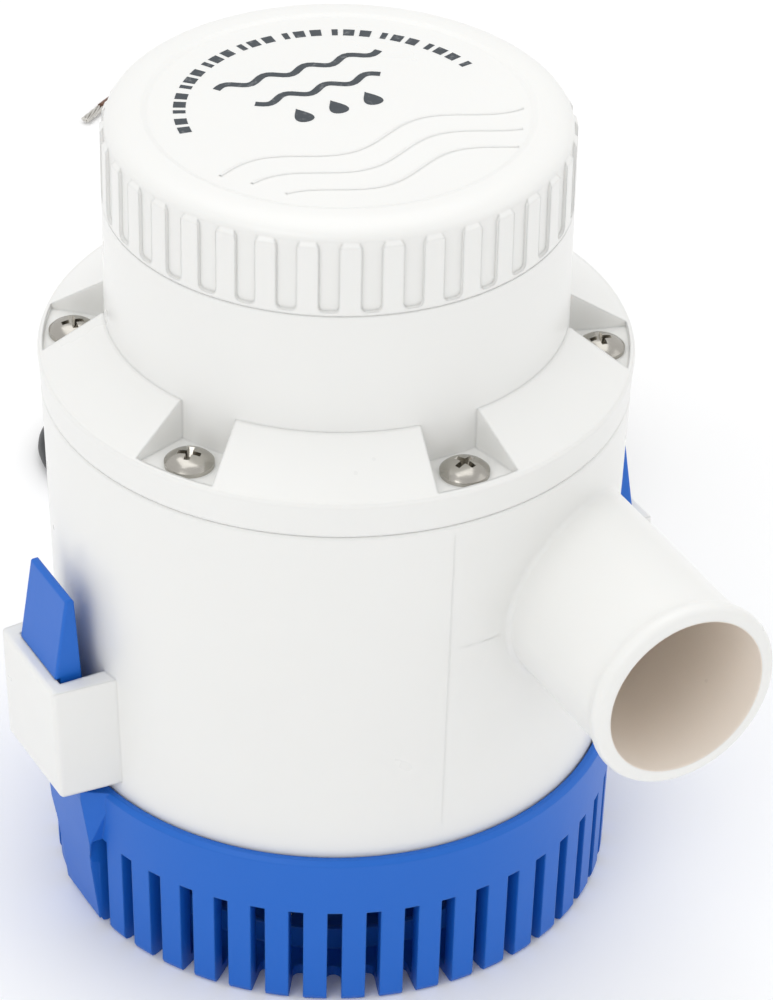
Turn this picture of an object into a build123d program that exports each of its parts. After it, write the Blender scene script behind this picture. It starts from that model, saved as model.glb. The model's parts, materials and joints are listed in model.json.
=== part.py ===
from build123d import *
from math import cos, pi, radians, sin, sqrt, tan
import os

# Submersible bilge pump: a pump body held in a clip-on strainer by two sprung arms.
# Millimetres, +Z up.  The origin is the centre of the strainer's underside.
# The hose spigot points along -Y and the two snap arms stand at -X and +X.

# ---------------------------------------------------------------- driving dimensions
STRAINER_R = 63.0          # outside radius of the strainer at its rim
STRAINER_FOOT_R = 62.2     # outside radius at the floor
STRAINER_H = 39.1          # height of the rim
STRAINER_FOOT_ROUND = 1.4  # rounding of the outer edge at the floor
STRAINER_INNER_R = 58.3
STRAINER_FLOOR = 2.5
LEDGE_Z = 33.2             # inner step that the pump housing stands on
SOCKET_R = 60.95           # bore that the housing's skirt drops into
SLOT_PITCH = 7.7           # degrees between strainer slots
SLOTS_PER_SIDE = 22
SLOT_WIDTH = 3.2
SLOT_TOP = 25.0
SLOT_ROOT_R = 53.4         # inner end of each slot's notch in the floor
FLOOR_RIB_R = 47.5
FLOOR_RIB_TOP = 8.0
HULL_HOLES = 4
HULL_HOLE_PCD = 72.0
HULL_HOLE_R = 2.75

ARM_WIDTH = 18.0           # snap arms
ARM_HINGE_R = 64.9
ARM_HINGE_Z = 40.95
ARM_FOOT_R = 1.55
ARM_BARB_Z = 70.9
ARM_TOP_Z = 90.4
ARM_TIP_R = (66.7, 68.5)    # inner and outer face at the top
GUSSET_TOP_Z = 39.0        # tapered buttress below each arm
GUSSET_SHOULDER_Z = 36.5
GUSSET_R = 66.4
GUSSET_ROOT_R = 59.5
GUSSET_ROOT_HALF_WIDTH = 13.5
GUSSET_FOOT_HALF_WIDTH = 8.3
GUSSET_FLARE_Z = 17.0      # where its sides start to flare

HOUSING_BOTTOM_Z = 33.3    # pump housing
SEAM_Z = 123.5
HOUSING_BOTTOM_R = 60.35
HOUSING_TOP_R = 63.0
WALL = 3.0
CHAMBER_FLOOR_Z = 43.5
CHAMBER_ROOF_Z = 119.5
INLET_EYE_R = 25.0
SHELL_OPENING_R = 46.6

LOOP_BOTTOM_Z = 42.7       # bracket loops round the snap arms
LOOP_TOP_Z = 70.6
LOOP_OUTER_R = 74.1
LOOP_FOOT_R = 73.1
LOOP_INNER_R = 71.0
LOOP_HALF_WIDTH = 13.2
LOOP_ROOT_HALF_WIDTH = 14.6
LOOP_GAP_HALF_WIDTH = 10.3
LOOP_ROUNDING = 1.1

SPIGOT_OFFSET = 28.8       # hose spigot, tangential to the chamber
SPIGOT_Z = 93.1
SPIGOT_END = 99.6
SPIGOT_R = 20.0
SPIGOT_BORE_R = 18.0
SPIGOT_BEAD_R = 21.3

SCREW_COUNT = 6            # flange screws
SCREW_CIRCLE_R = 56.1
SCREW_R = 2.5
SCREW_HEAD_R = 5.2
SCREW_HEAD_H = 2.9
SCREW_TIP_Z = 106.0
BOSS_R = 5.2
BOSS_BOTTOM_Z = 100.0

FLANGE_Z = 123.6           # motor housing
RIDGE_R = 63.5
RIDGE_Z = 132.0
POCKET_FLOOR_Z = 130.8
POCKET_END_R = 62.3
NECK_R = 49.24
NECK_BASE_Z = 140.1
NECK_TOP_Z = 167.6
NECK_BORE_R = 46.0
SHELL_R = 43.0
SHELL_BORE_R = 40.0
SHELL_BOTTOM_Z = 62.0
SHELL_FLOOR_Z = 66.0
SEAL_BORE_R = 11.0

CAP_R = 48.5               # top cap
CAP_RIB_R = 49.3
CAP_TOP_Z = 187.6
CAP_SHOULDER_Z = 184.4
CAP_SHOULDER_RUN = 6.5
CAP_RIBS = 36
CAP_GROOVE_WIDTH = 4.1
CAP_GROOVE_BOTTOM_Z = 168.6
CAP_DISH_R = 40.8
CAP_DISH_DEPTH = 0.5
WAVE_COUNT = 3             # raised wave lines on the cap's top face
WAVE_LENGTH = 38.0
WAVE_HEIGHT = 3.0
WAVE_FIRST_Y = -13.7
WAVE_STEP = 7.4

CAN_R = 38.0               # motor
CAN_BORE_R = 36.0
CAN_BOTTOM_Z = 76.0
CAN_TOP_Z = 160.0
MAGNET_BORE_R = 32.6
CORE_R = 32.0
CORE_BOTTOM_Z = 90.0
CORE_TOP_Z = 130.0
CORE_SLOTS = 12
CORE_SLOT_CIRCLE_R = 25.0
COMMUTATOR_R = 12.0
COMMUTATOR_BOTTOM_Z = 140.5
COMMUTATOR_TOP_Z = 152.0
SHAFT_R = 3.97
BEARING_BORE_R = 4.0
BEARING_R = 11.0
BEARING_WIDTH = 7.0
LOWER_BEARING_Z = 74.0
UPPER_BEARING_Z = 155.0
BRUSH_Z = 147.5
BRUSH_HEIGHT = 6.8
BRUSH_WIDTH = 6.0
BRUSH_TIP_R = 12.1
BRUSH_END_R = 24.0
HOLDER_END_R = 34.0
CARRIER_Z = 151.0

CABLE_R = 3.0              # supply lead
CORE_WIRE_R = 1.25
TIP_SIZE = (2.9, 1.7)
TIP_LENGTH = 9.0
GLAND_Z = 150.0
GLAND_END_Y = 70.0
GLAND_PLUG_R = 5.0
BEHIND = -30.0             # degrees about Z from +Y to the side that the lead leaves on
COIL_CENTRE = (22.0, 150.0)
COIL_MEAN_R = 33.0
COIL_BASE_Z = 1.3
COIL_TOP_Z = 24.5
COIL_START = 180.0         # degrees, where the lead runs onto the coil, turning clockwise
COIL_GAP = 64.0            # degrees left open for the two ends of the lead

UP = (Align.CENTER, Align.CENTER, Align.MIN)


# ---------------------------------------------------------------- shared shapes
def disc(radius, bottom, top):
    return Pos(0, 0, bottom) * Cylinder(radius, top - bottom, align=UP)


def tube(radius, bore, bottom, top):
    return disc(radius, bottom, top) - disc(bore, bottom - 1, top + 1)


def turned(*points):
    """A solid of revolution about Z from a closed outline of (radius, height) points."""
    return revolve(Plane.XZ * make_face(Polyline(*points, close=True)), Axis.Z)


def block(x, y, z):
    """A box from three (low, high) pairs."""
    size = [pair[1] - pair[0] for pair in (x, y, z)]
    middle = [(pair[0] + pair[1]) / 2 for pair in (x, y, z)]
    return Pos(*middle) * Box(*size)


def around(count, shape, start=0.0):
    """Copies of a shape, evenly spaced about Z."""
    return [Rot(0, 0, start + k * 360 / count) * shape for k in range(count)]


def plate_y(points, half_width):
    """A plate of an (x, z) outline, centred on the XZ plane."""
    face = Plane.XZ * make_face(Polyline(*points, close=True))
    return extrude(face, half_width, both=True)


def ring_of_wire(ring_r, wire_r, height):
    return Pos(0, 0, height) * Torus(ring_r, wire_r)


def save(shape, name):
    export_step(shape, f"parts/{name}.step")


# ---------------------------------------------------------------- strainer
def strainer_wall_r(z):
    return STRAINER_FOOT_R + (STRAINER_R - STRAINER_FOOT_R) * z / STRAINER_H


def strainer_slot():
    """One slot, open at the floor, with a round-ended notch into the floor plate."""
    half = SLOT_WIDTH / 2
    cut = block((SLOT_ROOT_R + half, STRAINER_R + 2), (-half, half), (-1, SLOT_TOP))
    return cut + Pos(SLOT_ROOT_R + half, 0, 0) * disc(half, -1, SLOT_TOP)


def arm_gusset(side):
    """The buttress that carries one snap arm: a sloping face with sides that flare into the wall."""
    root, edge = GUSSET_ROOT_HALF_WIDTH, ARM_WIDTH / 2
    bottom, top = STRAINER_FOOT_ROUND, GUSSET_TOP_Z
    plan = Polyline(
        (GUSSET_ROOT_R, root), (GUSSET_R, edge), (GUSSET_R, -edge), (GUSSET_ROOT_R, -root), close=True
    )
    solid = Pos(0, 0, bottom) * extrude(make_face(plan), top - bottom)
    outside = [
        (STRAINER_FOOT_R, bottom), (GUSSET_R, GUSSET_SHOULDER_Z), (GUSSET_R, top + 1),
        (GUSSET_R + 3, top + 1), (GUSSET_R + 3, bottom - 1), (STRAINER_FOOT_R, bottom - 1),
    ]
    solid = solid - plate_y(outside, root + 1)
    foot, flare = GUSSET_FOOT_HALF_WIDTH, GUSSET_FLARE_Z
    front = Polyline(
        (-foot, bottom - 1), (foot, bottom - 1), (foot, flare), (root, top + 1), (-root, top + 1),
        (-foot, flare), close=True,
    )
    solid = solid & extrude(Plane.YZ * make_face(front), GUSSET_R + 1)
    return Rot(0, 0, 0 if side > 0 else 180) * solid


def make_strainer():
    rim, foot, round_foot = STRAINER_R, STRAINER_FOOT_R, STRAINER_FOOT_ROUND
    body = turned(
        (0, 0), (foot - round_foot, 0), (foot - 0.3 * round_foot, 0.3 * round_foot),
        (foot, round_foot), (rim, STRAINER_H - 1.1),
        (rim - 0.9, STRAINER_H), (SOCKET_R, STRAINER_H), (SOCKET_R, LEDGE_Z),
        (STRAINER_INNER_R, LEDGE_Z), (STRAINER_INNER_R, STRAINER_FLOOR), (0, STRAINER_FLOOR),
    )
    rib = tube(FLOOR_RIB_R, FLOOR_RIB_R - 1.2, STRAINER_FLOOR, FLOOR_RIB_TOP)
    hollow = disc(STRAINER_INNER_R, STRAINER_FLOOR, LEDGE_Z) + disc(SOCKET_R, LEDGE_Z, STRAINER_H)
    gussets = [arm_gusset(side) - hollow for side in (-1, 1)]
    body = body + rib + gussets
    first = -90 - (SLOTS_PER_SIDE - 1) / 2 * SLOT_PITCH
    slot = strainer_slot()
    cuts = [
        Rot(0, 0, turn + first + k * SLOT_PITCH) * slot
        for turn in (0, 180)
        for k in range(SLOTS_PER_SIDE)
    ]
    hole = Pos(HULL_HOLE_PCD / 2, 0, 0) * disc(HULL_HOLE_R, -1, STRAINER_FLOOR + 1)
    return body - cuts - around(HULL_HOLES, hole, 45)


def make_snap_arm(side):
    """A sprung arm with a round foot, and a barb that hooks over the bracket loop."""
    outline = [
        (ARM_HINGE_R - ARM_FOOT_R, ARM_HINGE_Z),
        (ARM_HINGE_R + ARM_FOOT_R, ARM_HINGE_Z),
        (67.6, 58.0),
        (70.25, ARM_BARB_Z - 3.0),
        (70.25, ARM_BARB_Z),
        (71.4, ARM_BARB_Z),
        (71.4, ARM_BARB_Z + 0.6),
        (ARM_TIP_R[1], ARM_TOP_Z),
        (ARM_TIP_R[0], ARM_TOP_Z),
        (65.4, ARM_BARB_Z),
    ]
    blade = plate_y([(side * x, z) for x, z in outline], ARM_WIDTH / 2)
    blade = fillet(blade.edges().filter_by(lambda e: is_blade_edge(e)), 0.6)
    foot = Rot(90, 0, 0) * Cylinder(ARM_FOOT_R, ARM_WIDTH)
    return blade + Pos(side * ARM_HINGE_R, 0, ARM_HINGE_Z) * foot


def is_blade_edge(edge):
    """True for the edges round the arm's finger face above the barb, its top edges included."""
    middle = edge.center()
    outer = abs(middle.X) > 67.2 and edge.bounding_box().size.Z > 10
    return middle.Z > ARM_BARB_Z + 1 and (outer or middle.Z > ARM_TOP_Z - 0.1)


# ---------------------------------------------------------------- pump housing
def housing_wall_r(z):
    rise = (z - HOUSING_BOTTOM_Z) / (SEAM_Z - HOUSING_BOTTOM_Z)
    return HOUSING_BOTTOM_R + (HOUSING_TOP_R - HOUSING_BOTTOM_R) * rise


def bracket_loop(side):
    """The loop that a snap arm passes up through, with a drafted outer face."""
    plan = Polyline(
        (57, LOOP_ROOT_HALF_WIDTH), (LOOP_OUTER_R + 1, LOOP_HALF_WIDTH),
        (LOOP_OUTER_R + 1, -LOOP_HALF_WIDTH), (57, -LOOP_ROOT_HALF_WIDTH), close=True,
    )
    solid = Pos(0, 0, LOOP_BOTTOM_Z) * extrude(make_face(plan), LOOP_TOP_Z - LOOP_BOTTOM_Z)
    trim = [
        (LOOP_FOOT_R, LOOP_BOTTOM_Z), (LOOP_OUTER_R, LOOP_TOP_Z),
        (LOOP_OUTER_R + 3, LOOP_TOP_Z), (LOOP_OUTER_R + 3, LOOP_BOTTOM_Z),
    ]
    solid = solid - plate_y(trim, LOOP_ROOT_HALF_WIDTH + 1)
    solid = fillet(solid.edges().filter_by(lambda e: e.center().X > LOOP_INNER_R), LOOP_ROUNDING)
    gap = (-LOOP_GAP_HALF_WIDTH, LOOP_GAP_HALF_WIDTH)
    solid = solid - block((50, LOOP_INNER_R), gap, (LOOP_BOTTOM_Z - 1, LOOP_TOP_Z + 1))
    return Rot(0, 0, 0 if side > 0 else 180) * solid


def spigot_outline():
    """The outside of the hose spigot, turned about its own axis and ended by a round bead."""
    end = SPIGOT_END
    line = Polyline((0, 0), (0, end), (SPIGOT_R - 0.4, end))
    bead = Spline(
        (SPIGOT_R - 0.4, end), (SPIGOT_BEAD_R, end - 2.6), (SPIGOT_R, end - 6.5),
        tangents=((1, 0), (0, -1)),
    )
    back = Polyline((SPIGOT_R, end - 6.5), (SPIGOT_R, 0), (0, 0))
    face = make_face(line + bead + back)
    solid = revolve(face, Axis.Y)
    return Pos(SPIGOT_OFFSET, 0, SPIGOT_Z) * Rot(0, 0, 180) * solid


def make_pump_housing():
    inner_bottom = housing_wall_r(CHAMBER_FLOOR_Z) - WALL
    inner_top = housing_wall_r(CHAMBER_ROOF_Z) - WALL
    chamber = turned(
        (0, CHAMBER_FLOOR_Z), (inner_bottom, CHAMBER_FLOOR_Z), (inner_top, CHAMBER_ROOF_Z),
        (0, CHAMBER_ROOF_Z),
    )
    outside = turned(
        (0, HOUSING_BOTTOM_Z), (HOUSING_BOTTOM_R, HOUSING_BOTTOM_Z),
        (HOUSING_TOP_R - 0.02, SEAM_Z - 0.5), (HOUSING_TOP_R - 0.35, SEAM_Z), (0, SEAM_Z),
    )
    body = outside + spigot_outline()
    root = body.edges().filter_by(lambda e: is_spigot_root(e))
    body = fillet(root, 1.0)
    body = body - chamber - disc(housing_wall_r(40) - WALL, HOUSING_BOTTOM_Z - 1, 40.0)
    body = body + tube(INLET_EYE_R + 3, INLET_EYE_R, 36.5, 41.0)
    body = body - disc(INLET_EYE_R, HOUSING_BOTTOM_Z - 1, CHAMBER_FLOOR_Z + 1)
    body = body - disc(SHELL_OPENING_R, CHAMBER_ROOF_Z - 1, SEAM_Z + 1)
    boss = Pos(0, -SCREW_CIRCLE_R, 0) * disc(BOSS_R, BOSS_BOTTOM_Z, CHAMBER_ROOF_Z + 1)
    body = body + around(SCREW_COUNT, boss)
    bore = Pos(SPIGOT_OFFSET, 0, SPIGOT_Z) * Rot(90, 0, 0) * Cylinder(SPIGOT_BORE_R, 120, align=UP)
    body = body - bore
    body = body + [bracket_loop(side) - disc(60, 0, SEAM_Z) for side in (-1, 1)]
    pilot = Pos(0, -SCREW_CIRCLE_R, 0) * disc(SCREW_R, SCREW_TIP_Z, SEAM_Z + 1)
    return body - around(SCREW_COUNT, pilot)


def is_spigot_root(edge):
    """True for the curve where the spigot meets the round housing."""
    middle = edge.center()
    on_wall = abs(sqrt(middle.X**2 + middle.Y**2) - HOUSING_TOP_R) < 6
    near = abs(middle.Z - SPIGOT_Z) < SPIGOT_R + 1 and middle.Y < 0 and middle.X > 0
    return on_wall and near and edge.bounding_box().size.Z > SPIGOT_R


# ---------------------------------------------------------------- motor housing and cap
def pocket_cut():
    """The screw pocket in the flange's sloping land: flat floor, flaring side walls."""
    plan = Polyline(
        (46, 6.0), (POCKET_END_R + 2, 9.8), (POCKET_END_R + 2, -9.8), (46, -6.0), close=True
    )
    prism = Pos(0, 0, POCKET_FLOOR_Z) * extrude(make_face(plan), 14)
    return (prism & disc(POCKET_END_R, POCKET_FLOOR_Z, 150)) - disc(NECK_R - 1, 120, 150)


def make_motor_housing():
    lower = turned(
        (SEAL_BORE_R, SHELL_BOTTOM_Z), (SHELL_R - 1.5, SHELL_BOTTOM_Z),
        (SHELL_R, SHELL_BOTTOM_Z + 1.5), (SHELL_R, FLANGE_Z), (48.3, FLANGE_Z),
        (48.3, FLANGE_Z + 1.9), (51.3, FLANGE_Z + 1.9), (51.3, FLANGE_Z),
        (HOUSING_TOP_R - 0.35, FLANGE_Z), (HOUSING_TOP_R, FLANGE_Z + 0.4),
        (RIDGE_R, RIDGE_Z - 0.9), (RIDGE_R - 0.35, RIDGE_Z - 0.2), (RIDGE_R - 1.0, RIDGE_Z),
        (NECK_R + 0.6, NECK_BASE_Z), (NECK_BORE_R, NECK_BASE_Z), (NECK_BORE_R, 129.0),
        (SHELL_BORE_R, 127.0), (SHELL_BORE_R, SHELL_FLOOR_Z), (15.0, SHELL_FLOOR_Z),
        (15.0, 72.0), (SEAL_BORE_R, 72.0),
    )
    rib = block((CAN_R + 0.05, SHELL_BORE_R + 0.5), (-1.2, 1.2), (74.0, 124.0))
    hole = Pos(SCREW_CIRCLE_R, 0, 0) * disc(SCREW_R + 0.3, FLANGE_Z - 1, POCKET_FLOOR_Z + 1)
    lower = lower + around(6, rib, 30)
    lower = lower - around(SCREW_COUNT, pocket_cut(), -90) - around(SCREW_COUNT, hole, -90)
    return lower + neck_wall() - gland_hole()


def neck_wall():
    return tube(NECK_R, NECK_BORE_R, POCKET_FLOOR_Z - 1, NECK_TOP_Z)


def gland_hole():
    bore = Pos(0, NECK_BORE_R - 4, GLAND_Z) * Rot(-90, 0, 0) * Cylinder(GLAND_PLUG_R, 10, align=UP)
    return Rot(0, 0, BEHIND) * bore


def cap_groove():
    """One groove of the grip band: square floor, rounded bottom corners, open top."""
    half = CAP_GROOVE_WIDTH / 2
    low, high = CAP_GROOVE_BOTTOM_Z, CAP_SHOULDER_Z + 1
    outline = FilletPolyline(
        (-half - 1.2, high), (-half, high - 2.2), (-half, low), (half, low), (half, high - 2.2),
        (half + 1.2, high), radius=1.2,
    ) + Line((half + 1.2, high), (-half - 1.2, high))
    face = Plane.YZ.offset(CAP_R) * make_face(outline)
    return extrude(face, 4)


def cap_wave(offset, reach):
    """A low raised wave line on the cap's top face."""
    steps = 16
    along = [reach * (2 * k / steps - 1) for k in range(steps + 1)]
    points = [(x, offset + WAVE_HEIGHT * cos(2 * pi * (x - 13) / WAVE_LENGTH)) for x in along]
    path = Pos(0, 0, CAP_TOP_Z - CAP_DISH_DEPTH) * Spline(*points)
    return sweep(Plane(path @ 0, z_dir=path % 0) * Circle(0.3), path=path)


def make_top_cap():
    shoulder_r = CAP_R - CAP_SHOULDER_RUN
    arc = Plane.XZ * EllipticalCenterArc(
        (shoulder_r, CAP_SHOULDER_Z), CAP_SHOULDER_RUN, CAP_TOP_Z - CAP_SHOULDER_Z,
        start_angle=0, arc_size=90,
    )
    top = Plane.XZ * Polyline(
        (shoulder_r, CAP_TOP_Z), (CAP_DISH_R, CAP_TOP_Z),
        (CAP_DISH_R - 1.2, CAP_TOP_Z - CAP_DISH_DEPTH), (0, CAP_TOP_Z - CAP_DISH_DEPTH),
        (0, NECK_TOP_Z), (CAP_R, NECK_TOP_Z), (CAP_R, CAP_SHOULDER_Z),
    )
    body = revolve(make_face(arc + top), Axis.Z)
    band = turned(
        (CAP_R - 1, NECK_TOP_Z), (CAP_RIB_R - 0.25, NECK_TOP_Z), (CAP_RIB_R, NECK_TOP_Z + 0.3),
        (CAP_RIB_R, CAP_SHOULDER_Z - 0.9), (CAP_R - 0.05, CAP_SHOULDER_Z + 0.1),
        (CAP_R - 1, CAP_SHOULDER_Z + 0.1),
    )
    band = band - around(CAP_RIBS, cap_groove(), -90)
    spigot = disc(45.85, 158.0, NECK_TOP_Z + 1) - tube(50, 44.2, 161.4, 163.6)
    body = body + band + spigot
    body = body - disc(43.0, 150, 170) - disc(45.2, 170, 184.0)
    for turn in (-160, -90, -20):
        body = body + Rot(0, 0, turn) * Pos(31.5, 0, 0) * disc(3.0, 163.1, 185.0)
    for k in range(WAVE_COUNT):
        body = body + cap_wave(WAVE_FIRST_Y - k * WAVE_STEP, 34 - 4.3 * k)
    return body


def make_flange_screws():
    """Six pan-head screws with cross recesses, one group of separate solids."""
    top = POCKET_FLOOR_Z + SCREW_HEAD_H
    edge = POCKET_FLOOR_Z + 0.9
    outline = Polyline((0, POCKET_FLOOR_Z), (SCREW_HEAD_R, POCKET_FLOOR_Z), (SCREW_HEAD_R, edge))
    dome = ThreePointArc((SCREW_HEAD_R, edge), (SCREW_HEAD_R * 0.62, top - 0.55), (0, top))
    head_face = make_face(outline + dome + Line((0, top), (0, POCKET_FLOOR_Z)))
    head = revolve(Plane.XZ * head_face, Axis.Z)
    wing = loft([
        Pos(0, 0, top + 0.1) * Rectangle(5.4, 1.3),
        Pos(0, 0, top - 1.9) * Rectangle(2.2, 0.8),
    ])
    head = head - wing - Rot(0, 0, 90) * wing
    screw = head + disc(SCREW_R, SCREW_TIP_Z, POCKET_FLOOR_Z + 0.2)
    screw = Rot(0, 0, 20) * screw
    screws = [Rot(0, 0, k * 60) * Pos(0, -SCREW_CIRCLE_R, 0) * screw for k in range(SCREW_COUNT)]
    return Compound(children=screws)


# ---------------------------------------------------------------- motor, fixed pieces
def make_magnet(side):
    ring = tube(CAN_BORE_R, MAGNET_BORE_R, 86.0, 134.0)
    wedge = Polyline((0, 0), (60, 60 * tan(radians(65))), (60, -60 * tan(radians(65))), close=True)
    sector = Pos(0, 0, 80) * extrude(make_face(wedge), 60)
    return ring & (Rot(0, 0, 0 if side > 0 else 180) * sector)


def make_lower_end_plate():
    return turned(
        (8.0, 73.0), (CAN_R, 73.0), (CAN_R, CAN_BOTTOM_Z), (13.5, CAN_BOTTOM_Z), (13.5, 81.0),
        (BEARING_R, 81.0), (BEARING_R, LOWER_BEARING_Z), (8.0, LOWER_BEARING_Z),
    )


def make_upper_end_plate():
    plate = turned(
        (BEARING_R, UPPER_BEARING_Z), (13.5, UPPER_BEARING_Z), (13.5, CAN_TOP_Z), (CAN_R, CAN_TOP_Z),
        (CAN_R, 163.0), (8.0, 163.0), (8.0, 162.0), (BEARING_R, 162.0),
    )
    holes = [Pos(side * 28, 8, 0) * disc(1.8, CAN_TOP_Z - 1, 164) for side in (-1, 1)]
    return plate - holes


def make_bearing(bottom):
    """A sealed ball bearing, shown by its two rings and the shields between them."""
    top = bottom + BEARING_WIDTH
    body = tube(BEARING_R, BEARING_BORE_R, bottom, top)
    groove = tube(9.2, 6.0, top - 0.4, top + 1) + tube(9.2, 6.0, bottom - 1, bottom + 0.4)
    return body - groove


def make_brush_carrier():
    """The insulating ring with the two brush boxes hanging from it."""
    ring = tube(35.8, 14.2, CARRIER_Z, CARRIER_Z + 2.5)
    low, high = BRUSH_Z - BRUSH_HEIGHT / 2 - 0.1, CARRIER_Z + 0.5
    wall = BRUSH_WIDTH / 2 + 0.1
    for side in (-1, 1):
        x = sorted((side * 14.2, side * (HOLDER_END_R + 1.2)))
        inside = sorted((side * 13.0, side * HOLDER_END_R))
        box = block(x, (-wall - 1.4, wall + 1.4), (low - 1.2, high))
        ring = ring + (box - block(inside, (-wall, wall), (low, CARRIER_Z)))
    return ring


def make_brush(side):
    x = sorted((side * BRUSH_TIP_R, side * BRUSH_END_R))
    half = BRUSH_WIDTH / 2
    return block(x, (-half, half), (BRUSH_Z - BRUSH_HEIGHT / 2, BRUSH_Z + BRUSH_HEIGHT / 2))


def make_brush_spring(side):
    """A small compression spring between a brush and the end of its box."""
    wire = 0.3
    length = HOLDER_END_R - BRUSH_END_R - 2 * wire - 0.2
    path = Helix(pitch=length / 5, height=length, radius=2.2)
    coil = sweep(Plane(path @ 0, z_dir=path % 0) * Circle(wire), path=path, is_frenet=True)
    start = BRUSH_END_R + wire + 0.1
    return Pos(side * start, 0, BRUSH_Z) * Rot(0, side * 90, 0) * coil


def make_lead(side):
    """An insulated lead from the gland's inner face, over the motor and down to a brush box."""
    path = FilletPolyline(
        rear((side * 1.8, 43.5, GLAND_Z)), rear((side * 1.8, 41.0, GLAND_Z)),
        rear((side * 1.8, 41.0, 169.0)), (side * 25.0, 18.0, 169.0), (side * 28.0, 8.0, 169.0),
        (side * 28.0, 8.0, CARRIER_Z + 2.5), radius=2.3,
    )
    return sweep(Plane(path @ 0, z_dir=path % 0) * Circle(1.1), path=path)


# ---------------------------------------------------------------- motor, turning pieces
def make_shaft():
    shaft = disc(SHAFT_R, 48.0, 162.0 - 0.5) + disc(3.0, 42.5, 48.0)
    return chamfer(shaft.edges().group_by(Axis.Z)[-1], 0.6)


def make_armature_core():
    core = tube(CORE_R, SHAFT_R, CORE_BOTTOM_Z, CORE_TOP_Z)
    slot = Pos(CORE_SLOT_CIRCLE_R, 0, 0) * disc(3.7, CORE_BOTTOM_Z - 1, CORE_TOP_Z + 1)
    mouth = block((CORE_SLOT_CIRCLE_R, CORE_R + 1), (-0.9, 0.9), (CORE_BOTTOM_Z - 1, CORE_TOP_Z + 1))
    return core - around(CORE_SLOTS, slot + mouth)


def make_windings():
    """Copper end turns above and below the core, joined by a bundle in each slot."""
    lower = turned((13, 81.5), (24, 81.0), (29, 84.0), (29.5, 89.9), (9.5, 89.9))
    upper = turned((9.5, 130.1), (29.5, 130.1), (29, 136.0), (24, 139.5), (13, 139.5))
    lower = lower - disc(14.5, 70, 84.5)
    bar = Pos(CORE_SLOT_CIRCLE_R, 0, 0) * disc(3.4, 89.0, 131.0)
    return lower + upper + around(CORE_SLOTS, bar) - disc(SHAFT_R + 0.6, 70, 150)


def make_commutator():
    low, high = COMMUTATOR_BOTTOM_Z, COMMUTATOR_TOP_Z
    body = tube(COMMUTATOR_R, SHAFT_R, low, high)
    cut = block((COMMUTATOR_R - 1.0, COMMUTATOR_R + 1), (-0.3, 0.3), (low - 1, high + 1))
    return body - around(CORE_SLOTS, cut)


def impeller_blade():
    """One backward-swept blade, an arc of constant thickness seen from above."""
    inner = ThreePointArc((8.0, 0), (26.0, 7.5), (39.0, 22.0))
    outer = ThreePointArc((40.4, 20.2), (27.2, 5.6), (8.0, -2.2))
    outline = inner + Line((39.0, 22.0), (40.4, 20.2)) + outer + Line((8.0, -2.2), (8.0, 0))
    return Pos(0, 0, 45.0) * extrude(make_face(outline), 13.5)


def make_impeller():
    plate = disc(44.0, 58.0, 60.0) - disc(SHAFT_R, 50, 61)
    hub = tube(9.0, SHAFT_R, 48.0, 60.0)
    body = plate + hub + around(6, impeller_blade())
    return body - disc(7.6, 44, 48.0) - disc(SHAFT_R, 44, 61)


def make_impeller_nut():
    hexagon = RegularPolygon(5.6, 6)
    nut = Pos(0, 0, 44.0) * extrude(hexagon, 4.0)
    return nut - disc(3.0, 43, 49)


# ---------------------------------------------------------------- supply lead
def corner_radii(route, share=0.45):
    """The largest tangent arc at each corner: 0.45 of the shorter run over tan(half turn)."""
    radii = []
    for before, corner, after in zip(route, route[1:], route[2:]):
        run_in = Vector(*corner) - Vector(*before)
        run_out = Vector(*after) - Vector(*corner)
        turn = radians(run_in.get_angle(run_out))
        radii.append(share * min(run_in.length, run_out.length) / tan(turn / 2))
    return radii


def arc_path(route):
    """Straight runs joined by a tangent arc at every corner."""
    radii = corner_radii(route)
    at = Vector(*route[0])
    path = []
    for k, radius in enumerate(radii):
        before, corner, after = (Vector(*route[k + j]) for j in range(3))
        incoming = (corner - before).normalized()
        outgoing = (after - corner).normalized()
        half = radians(incoming.get_angle(outgoing)) / 2
        reach = radius * tan(half)
        start, end = corner - incoming * reach, corner + outgoing * reach
        inward = (outgoing - incoming).normalized()
        middle = corner + inward * (radius / cos(half) - radius)
        path.append(Line(at, start))
        path.append(ThreePointArc(start, middle, end))
        at = end
    path.append(Line(at, Vector(*route[-1])))
    return Wire(path)


def cable_tube(name, route, radius):
    route = [rear(point) for point in route]
    path = arc_path(route)
    start = Plane(path @ 0, z_dir=path % 0)
    solid = sweep(start * Circle(radius), path=path)
    radii = " ".join(f"{r:.0f}" for r in corner_radii(route))
    share = solid.volume / (pi * radius**2 * path.length)
    print(f"{name}: length {path.length:.0f} mm, volume share {share:.4f}, arc radii {radii}")
    return solid


def rear(point):
    """A point given as (sideways, away from the pump, height), seen from the lead's side."""
    u, v, z = point
    turn = radians(BEHIND)
    return (u * cos(turn) - v * sin(turn), u * sin(turn) + v * cos(turn), z)


def coil_tangent(angle, distance, height):
    """A point on the coil's tangent at an angle, measured along the lead's clockwise run."""
    turn = radians(angle)
    x = COIL_CENTRE[0] + COIL_MEAN_R * cos(turn) + distance * sin(turn)
    y = COIL_CENTRE[1] + COIL_MEAN_R * sin(turn) - distance * cos(turn)
    return (x, y, height)


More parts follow.
